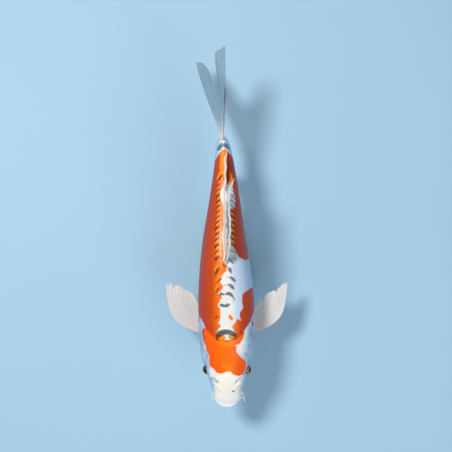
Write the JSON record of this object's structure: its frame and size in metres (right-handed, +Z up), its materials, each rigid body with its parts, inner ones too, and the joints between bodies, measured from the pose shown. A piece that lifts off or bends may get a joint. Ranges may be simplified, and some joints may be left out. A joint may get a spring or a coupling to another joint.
{
  "type": "koi carp",
  "caption": "Life-size still model of a swimming part-scaled koi carp, white with orange patches, fins spread, held over a flat oval base on short rods.",
  "frame": {"origin": "centre of the flat underside of the display stand's base", "axes": "+Z up, +Y from the snout to the tail, +X to the fish's own left side"},
  "size_m": [0.1731, 0.4921, 0.1972],
  "materials": {
    "skin": "wet fish skin, white with orange patches and rows of dark scales",
    "fin": "thin milky fin membrane over fine rays",
    "eye": "clear wet eye with a copper iris and a black pupil",
    "barbel": "soft pale feeler",
    "stand_base": "satin dark paint on steel plate",
    "stand_rod": "brushed"
  },
  "bodies": {
    "root": {"head": "skin", "jaw_lower": "skin", "gill_cover_left": "skin", "gill_cover_right": "skin", "eye_left": "eye", "eye_right": "eye", "trunk_front": "skin", "trunk_rear": "skin", "tail_stem": "skin", "fin_dorsal": "fin", "fin_anal": "fin", "fin_tail": "fin", "fin_pectoral_left": "fin", "fin_pectoral_right": "fin", "fin_pelvic_left": "fin", "fin_pelvic_right": "fin", "barbel_long_left": "barbel", "barbel_long_right": "barbel", "barbel_short_left": "barbel", "barbel_short_right": "barbel", "stand_base": "stand_base", "stand_rod_front": "stand_rod", "stand_rod_rear": "stand_rod"}
  },
  "joints": []
}
